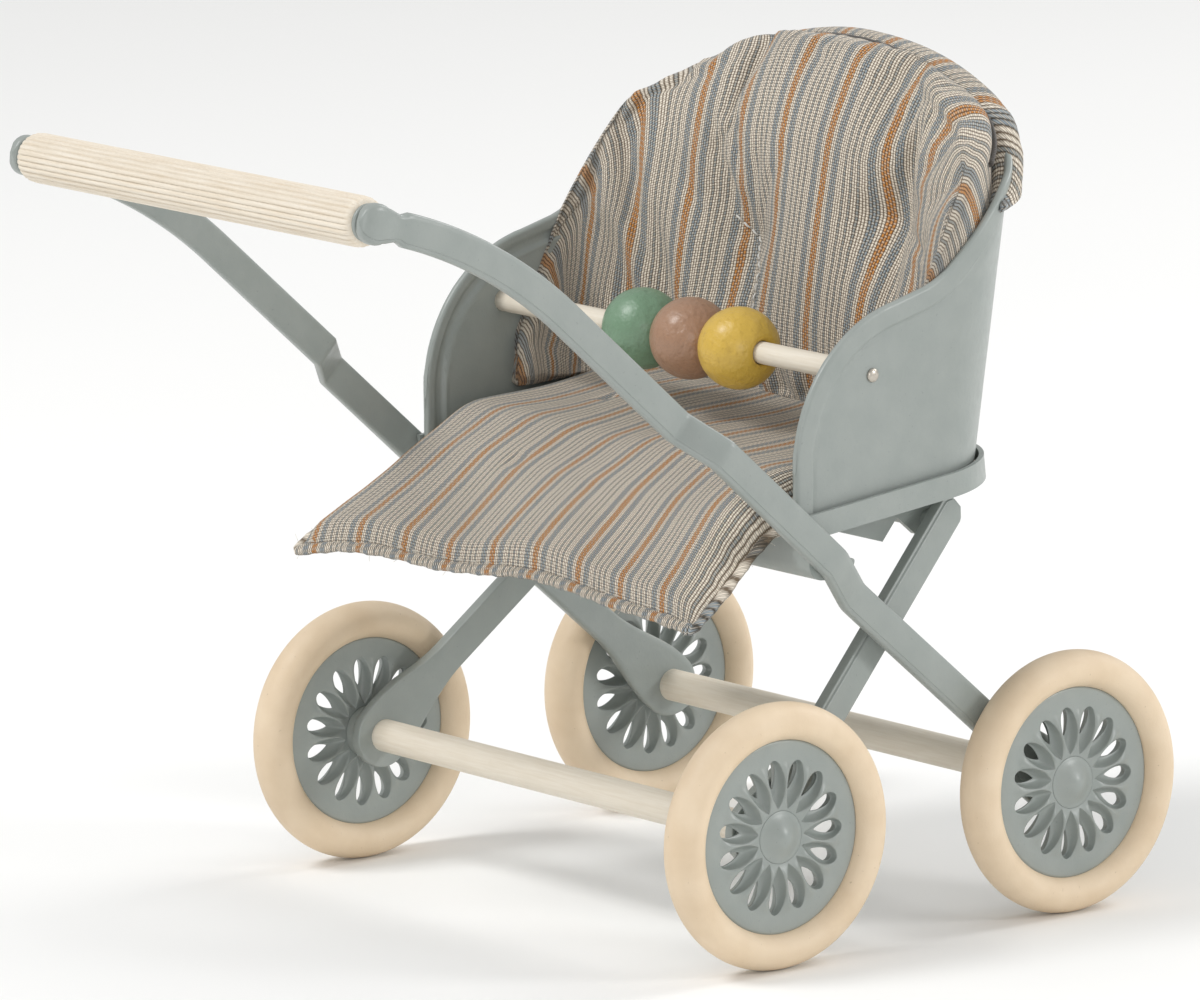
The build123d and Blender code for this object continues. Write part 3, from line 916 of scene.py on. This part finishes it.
def settle(piece, pins, pressure, growth, cap):
    """Fill the cushion: a short run of cloth under pressure, its cloth cut a little too large."""
    start = np.array([v.co for v in piece.data.vertices])
    group = piece.vertex_groups.new(name="pin")
    for index, weight in enumerate(pins):
        if weight > 0:
            group.add([index], weight, "REPLACE")
    cloth = piece.modifiers.new("filling", "CLOTH")
    for setting, value in FILLING.items():
        setattr(cloth.settings, setting, value)
    cloth.settings.uniform_pressure_force = pressure
    cloth.settings.shrink_min = -growth
    cloth.settings.vertex_group_mass = "pin"
    cloth.settings.effector_weights.gravity = 0
    cloth.collision_settings.use_collision = False
    cloth.point_cache.frame_start = 1
    cloth.point_cache.frame_end = CLOTH_FRAMES
    for number in range(1, CLOTH_FRAMES + 1):
        bpy.context.scene.frame_set(number)
    apply_modifiers(piece)
    bpy.context.scene.frame_set(1)
    for vertex, origin in zip(piece.data.vertices, start):
        moved = np.array(vertex.co) - origin
        size = np.linalg.norm(moved)
        limit = cap * MM * CLOTH_SCALE
        if size > limit:
            moved *= limit * (1 + math.tanh((size - limit) / limit) * 0.4) / size
        vertex.co = (origin + moved) / CLOTH_SCALE
    smoother = piece.modifiers.new("smooth", "SUBSURF")
    smoother.levels = smoother.render_levels = 1
    apply_modifiers(piece)
    piece.data.shade_smooth()


def rounded(distance, radius):
    """Share of full thickness at a distance from a pillow's edge."""
    t = min(1.0, max(0.0, distance / radius))
    return sqrt(1 - (1 - t) ** 2)


PAD_LENGTH = 52


def make_seat_cushion():
    """Flat pad on the pan whose front third hangs forward of the seat."""
    half = high("seat_cushion")[0]
    tip_y = -12.6
    crest = [(tip_y, 41.9), (tip_y + 0.5, 44.8), (-1.5, 53.4), (6.0, 57.4), (34.8, 59.6)]
    top_line = filleted_path(crest, [1.8, 16, 12], 0.5)
    base_line = filleted_path([(tip_y + 0.1, 41.5), (2.8, 50.5), (34.8, 53.8)], [5], 0.5)
    rows, cols = 64, 88
    top = resample(top_line, 0.2)[1]
    base = resample(base_line, 0.2)[1]
    points, uv, pins = [], [], []
    for layer in (0, 1):
        for r in range(rows + 1):
            v = r / rows
            t = np.array(top[min(len(top) - 1, round(v * (len(top) - 1)))])
            b = np.array(base[min(len(base) - 1, round(v * (len(base) - 1)))])
            run = v * PAD_LENGTH
            for c in range(cols + 1):
                share = 2 * c / cols - 1
                x = half * share
                ends = rounded(run + 0.8, 2.0), rounded(PAD_LENGTH - run + 0.4, 2.5)
                plump = rounded(half - abs(x), 4.5) * ends[0] * ends[1]
                side_edge = smooth_step(0.86, 1.0, abs(share))
                mid = b + (t - b) * (0.5 - 0.38 * side_edge)
                y, z = mid + (t - mid) * plump if layer == 0 else mid + (b - mid) * plump
                z -= 1.0 * side_edge * sin(pi * min(1.0, v / 0.5)) * (share > 0)
                front = 1 - smooth_step(0.0, 0.45, v)
                skew = front * (0.1 * x + 1.3 * (1 - share**2) - 0.8)
                lift = front * (1.6 * (1 - share**2) - 0.9 * max(0.0, share) ** 2 + 0.3 * sin(7 * share))
                waist = 1 - 0.03 * sin(pi * min(1.0, v / 0.5))
                lump = 0.0
                if layer == 0:
                    lump = 0.55 * sin(x / 5.3 + run / 11.0) * sin(run / 6.1 - x / 17.0 + 0.7) * plump
                points.append((x * waist * (1 + 0.03 * front * (1 - v)), y + skew, z + lift + lump))
                uv.append((x + 1.9, run))
                edge = c in (0, cols) or r in (0, rows)
                pins.append(1.0 if edge or layer == 1 else 0.0)
    size = cols + 1
    sheet_size = size * (rows + 1)
    faces = []
    for r in range(rows):
        for c in range(cols):
            i = r * size + c
            faces.append((i, i + 1, i + size + 1, i + size))
            j = i + sheet_size
            faces.append((j, j + size, j + size + 1, j + 1))
    border = list(range(size)) + [r * size + cols for r in range(1, rows + 1)]
    border += [rows * size + c for c in range(cols - 1, -1, -1)]
    border += [r * size for r in range(rows - 1, 0, -1)]
    for a, b in zip(border, border[1:] + border[:1]):
        faces.append((a, a + sheet_size, b + sheet_size, b))
    for row, col in ((20, 30), (34, 60), (44, 22), (50, 70)):
        i = row * size + col
        for di in (-1, 0, 1):
            for dj in (-1, 0, 1):
                x, y, z = points[i + di * size + dj]
                points[i + di * size + dj] = (x, y, z - 0.5)
                pins[i + di * size + dj] = 1.0
    rim = [r * size for r in range(rows // 2, 0, -1)] + list(range(size))
    rim += [r * size + cols for r in range(1, rows // 2)]
    rim_points = [(np.array(points[i]) + np.array(points[i + sheet_size])) / 2 for i in rim]
    piece = woven_mesh("seat_cushion_linen", points, faces, uv)
    settle(piece, pins, 2.5, 0.09, 2.0)
    make_seat_hem(rim_points)
    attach(piece, FRAME_BODY)
    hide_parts("seat_cushion")


FLAP_NORMAL = np.array((0.0, -0.62, 0.78))


def make_seat_hem(rim_points):
    """Rolled hem round the front and sides of the seat pad, its running stitches and stray fibres."""
    places, path, slope = resample(rim_points, 0.5)
    rings, uvs = [], []
    for s, spot, along in zip(places, path, slope):
        across = unit(np.cross(along, FLAP_NORMAL))
        lift = np.cross(across, along)
        fat = 1 + 0.10 * sin(s * 1.7) + 0.08 * sin(s * 0.61 + 1) + 0.05 * sin(s * 4.3)
        fade = rounded(min(s, places[-1] - s) + 0.2, 3.0)
        ring = []
        for a in turns(14):
            side = 0.25 + 0.78 * cos(a) * fat * fade
            ring.append(spot + across * side + lift * 0.5 * sin(a) * fat * fade)
        rings.append(ring)
        uvs += [(spot[0] + 1.9, s + k * 0.25) for k in range(14)]
    points, faces = skin(rings)
    hem = build_mesh("seat_cushion_hem", points, faces, LINEN, FRAME_BODY, uvs)
    stitches, hairs = [], []
    rng = np.random.default_rng(11)
    front_run = [i for i in range(len(path)) if abs(path[i][0]) < 32]
    for i in front_run[::5]:
        along = slope[i]
        across = np.cross(along, FLAP_NORMAL)
        base = path[i] - across * 0.55 + FLAP_NORMAL * 0.42
        stitches.append([base - along * 0.5, base + FLAP_NORMAL * 0.1, base + along * 0.5])
    for _ in range(150):
        i = rng.integers(2, len(path) - 2)
        heading = rng.normal(0, 0.7, 3) + np.cross(slope[i], FLAP_NORMAL)
        heading *= rng.uniform(0.5, 1.3) / np.linalg.norm(heading)
        start = path[i] + rng.normal(0, 0.25, 3)
        bend = rng.normal(0, 0.25, 3)
        hairs.append([start, start + heading * 0.5 + bend * 0.5, start + heading + bend])
    threads("seat_cushion_stitches", stitches, 0.13, CREAM_THREAD)
    threads("seat_cushion_fibres", hairs, 0.022, CREAM_THREAD)


def threads(name, runs, radius, material):
    """Short round threads, each through its own few points, as one piece on the frame."""
    points, faces = [], []
    for run in runs:
        line = np.array(run)
        slopes = np.gradient(line, axis=0)
        rings = []
        for spot, along in zip(line, slopes):
            along = unit(along)
            side = unit(np.cross(along, (0.31, 0.52, 0.79)))
            other = np.cross(along, side)
            rings.append([spot + radius * (side * cos(a) + other * sin(a)) for a in turns(6)])
        run_points, run_faces = skin(rings)
        faces += [tuple(len(points) + i for i in f) for f in run_faces]
        points += run_points
    piece = build_mesh(name, points, faces, material, FRAME_BODY)


def surface_finder(piece):
    """A function that drops a point along +Y onto the piece's front face, in mm."""
    faces = [p.vertices[:] for p in piece.data.polygons]
    tree = BVHTree.FromPolygons([v.co for v in piece.data.vertices], faces)

    def find(x, z):
        hit, normal = tree.ray_cast(Vector((x, 0, z)) * MM, Vector((0, 1, 0)))[:2]
        return np.array(hit) / MM, np.array(normal)

    return find


def make_tufting(cushion):
    """White tie stitches that hold the filling of the back cushion."""
    find = surface_finder(cushion)
    runs = []
    for (x0, z0), (x1, z1), count in (((-13.3, 79.2), (-5.2, 73.8), 7), ((-5.2, 73.4), (-4.9, 68.6), 4)):
        for k in range(count):
            ends = []
            for t in (k + 0.12, k + 0.5, k + 0.88):
                spot, normal = find(x0 + (x1 - x0) * t / count, z0 + (z1 - z0) * t / count)
                out = -normal if normal[1] > 0 else normal
                ends.append(spot + out * (0.22 if t == k + 0.5 else 0.05))
            runs.append(ends)
    threads("back_cushion_ties", runs, 0.14, WHITE_THREAD)


WING_EDGE = [(16.6, 50), (16.9, 62), (24, 76), (33.2, 90), (39, 108)]
WING_LEAN = 0.5
CUSHION_TOP = 102.0
CUSHION_ARCH = 56.0
CUSHION_HALF_RUN = 52
WALL_START = 10.0
POCKET_FRONT = 36.5


def wall_run(front, half_width, back_y, corner):
    """Lengths along half the U-shaped wall: from its start to the cut at front, and to its middle."""
    side, arc, flat = plan_length(half_width, back_y, corner, WALL_START)
    if front <= back_y - corner:
        return front - WALL_START, side + arc + flat
    return side + corner * math.asin(min(0.98, (front - back_y + corner) / corner)), side + arc + flat


def wall_plan(share, front, half_width, back_y, corner):
    """(x, y) at a share from -1 to 1 across the seat's U-shaped wall, cut off forward of front."""
    trimmed, total = wall_run(front, half_width, back_y, corner)
    s = trimmed + (1 - abs(share)) * (total - trimmed)
    x, y, _, _ = plan_point(s, half_width, back_y, corner, WALL_START)
    return (x if share > 0 else -x), y


def wing_front(z):
    """Y of the back cushion's front edges at height z."""
    return WING_EDGE[1][0] + WING_LEAN * max(0.0, z - WING_EDGE[1][1])


def cushion_stripe(share, z):
    """Position across the linen's stripes, measured round the wall from its middle."""
    trimmed, total = wall_run(wing_front(z), 33.0, back_face(z) - 4, 10.5)
    reach = total - trimmed
    lean = 0.4 * (1 - smooth_step(0, 11, reach * (1 - abs(share)))) * (z - 86)
    return 2.6 + 0.77 * share * reach - lean * math.copysign(1, share)


def cushion_top(x):
    droop = 2.2 * max(0.0, (abs(x) - 24) / 11) ** 2
    return arch(x, CUSHION_TOP, CUSHION_ARCH) - droop


def cushion_edge(place):
    """Height where a column of the back cushion meets its top edge or its wing's edge."""
    z = 60.0
    while z < 104:
        x, y = place(z)
        wing = float(np.interp(y, [p[0] for p in WING_EDGE], [p[1] for p in WING_EDGE]))
        if z > min(cushion_top(x), wing + 0.5):
            break
        z += 0.1
    return z


def make_back_cushion():
    """Padded back that wraps both sides of the seat, tufted in two places."""
    cols, wall_rows = 120, 46
    tufts = [(-9.1, 76.1, 2.4, 8.0), (16.2, 82.0, 2.6, 9.0)]
    rings, uvs, pins = [], [], []
    for c in range(cols + 1):
        share = 2 * c / cols - 1
        wing = (1 - abs(share)) * CUSHION_HALF_RUN
        plump = max(0.06, rounded(wing + 0.1, 4.0))

        def outer(z):
            shy = 0.9 + 1.1 * smooth_step(82, 92, z)
            return np.array(wall_plan(share, wing_front(z), 36.0 - shy, back_face(z) - shy, 11.0))

        def inner(z):
            return np.array(wall_plan(share, wing_front(z), 31.8, back_face(z) - 7.4, 10.5))

        top = cushion_edge(lambda z: (outer(z) + inner(z)) / 2)
        foot = 56.4 + 0.05 * outer(60)[1]
        radius = 2.2 * plump + 0.2
        ring, uv, pin = [], [], []

        def add(depth, z, held, v):
            depth = depth * plump * (1 - 0.42 * smooth_step(-13, 0, z - top))
            a, b = outer(z), inner(z)
            spot = a + (b - a) * depth
            sink = 0.0
            if depth > 0.6:
                for tx, tz, deep, wide in tufts:
                    away = hypot(b[0] - tx, z - tz) / wide
                    sink += deep * math.exp(-((away * 1.9) ** 2))
                    if away * wide < 0.9:
                        held = 1.0
            push = (a - b) / max(0.1, np.linalg.norm(a - b)) * sink
            ring.append((*(spot + push), z))
            uv.append((cushion_stripe(share, z), v))
            pin.append(held)

        for k in range(20):
            add(0.0, foot + (top - radius - foot) * k / 20, 1.0, k * 2.1)
        for k in range(9):
            a = pi * k / 8
            held = 1.0 if k < 5 else 0.0
            add(0.5 - 0.5 * cos(a), top - radius + radius * sin(a), held, 43 + k * 1.1)
        for k in range(1, wall_rows + 1):
            z = top - radius + (foot + 1.2 - top + radius) * k / wall_rows
            add(1.0, z, 0.0, 52 + (top - radius - z) * 1.01)
        for k in range(1, 5):
            a = pi / 2 * k / 4
            add(1.0 - 0.45 * (1 - cos(a)), foot + 1.2 - 1.2 * sin(a), 1.0, 96 + k * 0.6)
        edge = c in (0, cols)
        rings.append(ring)
        uvs += uv
        pins += [1.0] * len(pin) if edge else pin
    points, faces = skin(rings)
    piece = woven_mesh("back_cushion_linen", points, faces, uvs)
    settle(piece, pins, 2.0, 0.09, 2.0)
    make_tufting(piece)
    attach(piece, FRAME_BODY)
    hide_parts("back_cushion")


def pocket_plan(share, z, out):
    """(x, y) of the pocket's wall at a distance out from the shell's outer face."""
    return wall_plan(share, POCKET_FRONT, SEAT_HALF_WIDTH + out, back_face(z) + out, SHELL_CORNER + out)


def make_pocket():
    """Linen hood over the outside of the seat's top edge; the cushion's stripes run on over it."""
    cols = 90
    low_z = low("back_cushion_pocket")[2]
    rings, uvs, pins = [], [], []
    for c in range(cols + 1):
        share = 2 * c / cols - 1
        x_mid = pocket_plan(share, 92, 0.7)[0]
        top = cushion_top(x_mid)
        foot = low_z + 0.5 * sin(5 * share)
        thick = 0.9 * rounded((1 - abs(share)) * 44 + 0.3, 2.0)
        profile = [(0.1, foot + 0.5), (0.1, (foot + top) / 2), (0.1, top - 1.9)]
        profile += [(-1.2, top - 1.6), (-2.3, top - 1.2), (-2.4, top - 0.4)]
        profile += [(-1.7, top + 0.3), (-0.6, top + 0.5), (0.2 + thick * 0.5, top + 0.1)]
        profile.append((0.1 + thick, top - 0.9))
        profile += [(0.1 + thick, top - 1.0 + (foot + 1.0 - top) * k / 14) for k in range(1, 15)]
        profile.append((0.1 + thick * 0.8, foot - 0.2))
        rings.append([(*pocket_plan(share, z, out), z) for out, z in profile])
        lengths = np.cumsum([0.0] + [math.dist(a, b) for a, b in zip(profile, profile[1:])])
        uvs += [(cushion_stripe(x_mid / 34.0, 95.0), length) for length in lengths]
        pins += [1.0 if k < 8 else 0.0 for k in range(len(profile))]
    points, faces = skin(rings)
    # A dark tube along the top of the pocket, where it meets the cushion: painted shadow in that join.
    seam = []
    for k in range(97):
        share = -0.96 + 1.92 * k / 96
        z = 95.0
        for _ in range(6):
            x, y = pocket_plan(share, z, -2.5)
            z = cushion_top(x) - 0.3
        seam.append((x, y, z))
    threads("back_cushion_seam_shadow", [seam], 0.34, SEAM_SHADOW)
    piece = woven_mesh("back_cushion_pocket_linen", points, faces, uvs)
    settle(piece, pins, 1.0, 0.04, 0.4)
    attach(piece, FRAME_BODY)
    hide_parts("back_cushion_pocket")


# --- camera, light and floor
CAMERA_AZIMUTH = 51.55
CAMERA_ELEVATION = 10.86
CAMERA_ROLL = -0.67
CAMERA_LENS = 323.3
CAMERA_DISTANCE = 1313.3
CAMERA_ACROSS = -13.6
CAMERA_UP = 46.7
WHEELS_MIDDLE_Y = (AXLE["front"][1] + AXLE["rear"][1]) / 2


def add_camera():
    """Long lens at the product shot's angle, aimed from the wheels' middle on the floor."""
    a, e, r = (math.radians(v) for v in (CAMERA_AZIMUTH, CAMERA_ELEVATION, CAMERA_ROLL))
    back = Vector((sin(a) * cos(e), -cos(a) * cos(e), sin(e)))
    level = Vector((cos(a), sin(a), 0))
    upright = back.cross(level)
    right = level * cos(r) + upright * sin(r)
    up = upright * cos(r) - level * sin(r)
    place = right * CAMERA_ACROSS + up * CAMERA_UP + back * CAMERA_DISTANCE
    place += Vector((0, WHEELS_MIDDLE_Y, 0))
    data = bpy.data.cameras.new("camera")
    data.lens = CAMERA_LENS
    data.sensor_width = 36
    data.clip_start = 0.05
    data.clip_end = 20
    camera = add_object("camera", data)
    turn = Matrix((right, up, back)).transposed().to_4x4()
    camera.matrix_world = Matrix.Translation(place * MM) @ turn
    bpy.context.scene.camera = camera


LIGHT_TARGET = Vector((0, 0, 0.05))
FLOOR_HALF = 2500


def add_light(name, place, size, power):
    data = bpy.data.lights.new(name, "AREA")
    data.shape = "DISK"
    data.size = size
    data.energy = power
    lamp = add_object(name, data)
    lamp.location = place
    lamp.rotation_euler = (LIGHT_TARGET - Vector(place)).to_track_quat("-Z", "Y").to_euler()


def add_studio():
    world = bpy.data.worlds.new("studio")
    bpy.context.scene.world = world
    world.use_nodes = True
    sky = world.node_tree.nodes["Background"].inputs
    sky["Color"].default_value = (1, 1, 1, 1)
    sky["Strength"].default_value = 0.55
    bpy.context.scene.view_settings.view_transform = "Standard"
    bpy.context.scene.view_settings.look = "None"
    add_light("key", (-0.35, -0.75, 1.05), 0.45, 8.0)
    add_light("fill", (0.95, -0.7, 0.35), 0.5, 2.0)
    add_light("side", (1.0, 0.7, 0.5), 0.35, 4.0)
    add_light("back", (0.1, 1.0, 0.8), 0.6, 5.0)
    s = Shader("floor", (0.9, 0.9, 0.89, 1), 0.8)
    s.out("Base Color", s.mix(s.noise(6), (0.9, 0.9, 0.89, 1), (0.92, 0.92, 0.91, 1)))
    corners = [(FLOOR_HALF * x, FLOOR_HALF * y, 0) for x, y in ((-1, -1), (1, -1), (1, 1), (-1, 1))]
    floor = build_mesh("floor", corners, [(0, 1, 2, 3)], s.material)


# --- make everything
add_camera()
add_studio()
for end in ("front", "rear"):
    make_axle(end)
    for side in (1, -1):
        make_tyre(end, side)
        make_wheel_disc(end, side)
make_grip()
make_collars()
for side in (1, -1):
    make_side_bar(side)
    make_leg(side)
make_bead_bar()
make_bead("green", (110, 142, 114), (86, 116, 90))
make_bead("brown", (158, 122, 96), (126, 92, 70))
make_bead("yellow", (206, 170, 66), (176, 138, 46))
make_shell()
make_seat_cushion()
make_back_cushion()
make_pocket()
cad_shaped = ["leg_cross_tube", "seat_gusset_right", "seat_gusset_left", "seat_cross_brace"]
for node in cad_shaped + ["seat_pan", "handle_rod"]:
    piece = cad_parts[node]
    piece.data.materials.clear()
    piece.data.materials.append(PAINT if node != "handle_rod" else STEEL)
    add_bevel(piece, 0.35 if node == "seat_pan" else 0.15)
